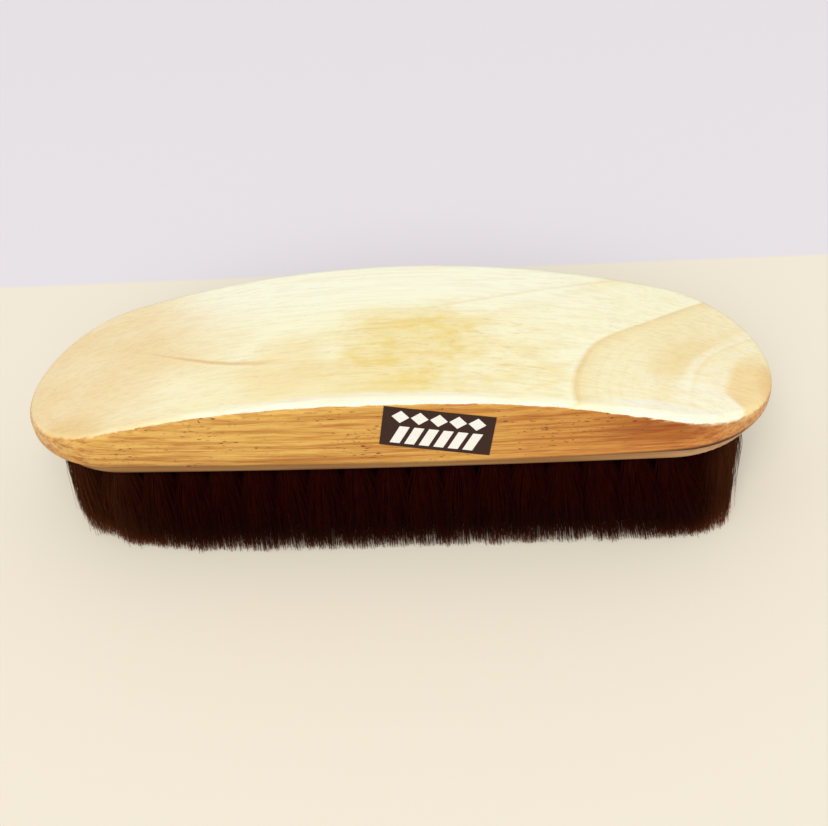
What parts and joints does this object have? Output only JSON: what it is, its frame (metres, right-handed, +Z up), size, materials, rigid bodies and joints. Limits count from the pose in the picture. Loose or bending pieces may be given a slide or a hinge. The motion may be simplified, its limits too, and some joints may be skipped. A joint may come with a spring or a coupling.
{
  "type": "shoe shine brush",
  "caption": "Oval shoe shine brush: arched varnished wooden back glued on a thin drilled board, with staggered rows of dark hair tufts drawn in by wire.",
  "frame": {"origin": "middle of the brush at the level of the hair tips", "axes": "+X along the brush towards the right end seen from the labelled side, +Y across it away from the labelled side, +Z up from the hair tips to the back"},
  "size_m": [0.18, 0.0521, 0.0483],
  "materials": {
    "varnished_wood": "clear varnish",
    "raw_wood": "sanded, unvarnished",
    "hair": "stiff dark brown hair",
    "wire": "drawn",
    "label": "printed paper sticker"
  },
  "bodies": {
    "root": {"handle_back": "varnished_wood", "tuft_board": "raw_wood", "label": "label", "tuft_row_1": "hair", "tuft_row_2": "hair", "tuft_row_3": "hair", "tuft_row_4": "hair", "tuft_row_5": "hair", "tuft_row_6": "hair", "tuft_row_7": "hair", "drawing_wire_1": "wire", "drawing_wire_2": "wire", "drawing_wire_3": "wire", "drawing_wire_4": "wire", "drawing_wire_5": "wire", "drawing_wire_6": "wire", "drawing_wire_7": "wire"}
  },
  "joints": []
}
